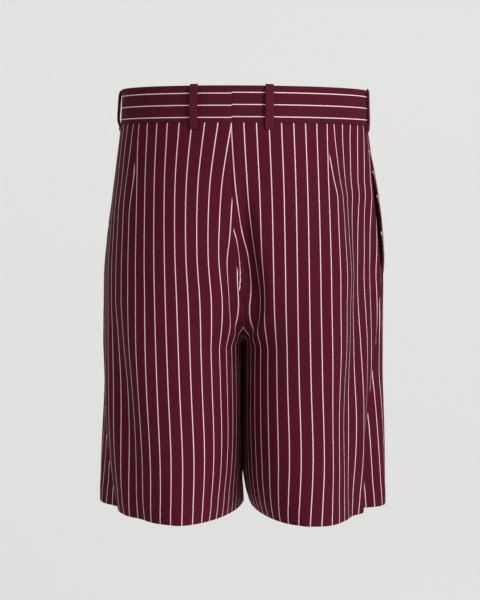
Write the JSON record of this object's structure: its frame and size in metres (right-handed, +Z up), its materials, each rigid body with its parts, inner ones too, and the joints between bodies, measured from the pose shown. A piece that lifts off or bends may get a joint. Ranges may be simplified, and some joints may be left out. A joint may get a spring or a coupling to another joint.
{
  "type": "bermuda shorts",
  "caption": "Knee-length bermuda shorts in dark red pinstriped cloth, held open and hollow as worn, with a waistband, belt loops, side pockets and a fly.",
  "frame": {"origin": "middle of the waist opening, level with the waistband's top edge, where the wearer's waist holds it", "axes": "+Z up along the garment, -Y the way that its back faces, +X the wearer's right"},
  "size_m": [0.3521, 0.2551, 0.5046],
  "materials": {
    "striped_cloth": "smooth dark red woven cloth with fine pale pinstripes down its length",
    "waistband_cloth": "the same pinstriped cloth, cut across so that its stripes run round the waist",
    "plain_cloth": "the same dark red cloth without a stripe, folded and pressed",
    "pocketing": "thin dark red lining cloth",
    "button": "dark red marbled resin with a soft shine"
  },
  "bodies": {
    "root": {"back_panel_left": "striped_cloth", "back_panel_right": "striped_cloth", "front_panel_left": "striped_cloth", "front_panel_right": "striped_cloth", "fly": "striped_cloth", "waistband_left": "waistband_cloth", "waistband_right": "waistband_cloth", "belt_loop_back_left": "plain_cloth", "belt_loop_back_right": "plain_cloth", "belt_loop_side_left": "plain_cloth", "belt_loop_side_right": "plain_cloth", "belt_loop_front_left": "plain_cloth", "belt_loop_front_right": "plain_cloth", "pocket_bag_left": "pocketing", "pocket_bag_right": "pocketing", "waistband_button": "button"}
  },
  "joints": []
}
